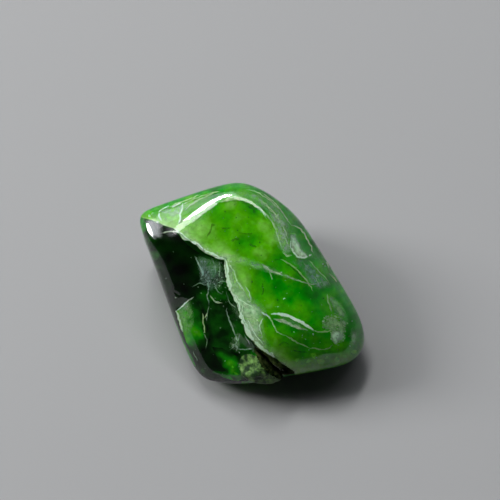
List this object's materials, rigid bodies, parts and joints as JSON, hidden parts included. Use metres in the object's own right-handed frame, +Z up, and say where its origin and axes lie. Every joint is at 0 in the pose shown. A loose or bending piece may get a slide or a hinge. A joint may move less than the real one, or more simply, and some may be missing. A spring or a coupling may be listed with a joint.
{
  "type": "tumbled diopside stone",
  "caption": "Tumble-polished green diopside pebble: a worn, four-cornered chip with a sharp tip, a round end, a chipped broken edge and a ground flat it rests on.",
  "frame": {"origin": "centre of the bounding box, on the flat the stone rests on", "axes": "+X along the long axis, from the sharp tip towards the round end; +Z up, out of the crown; the chipped side face is on the -Y side"},
  "size_m": [0.021, 0.0154, 0.0097],
  "materials": {
    "diopside_green": "tumble-polished, glassy"
  },
  "bodies": {
    "root": {"diopside_pebble": "diopside_green"}
  },
  "joints": []
}
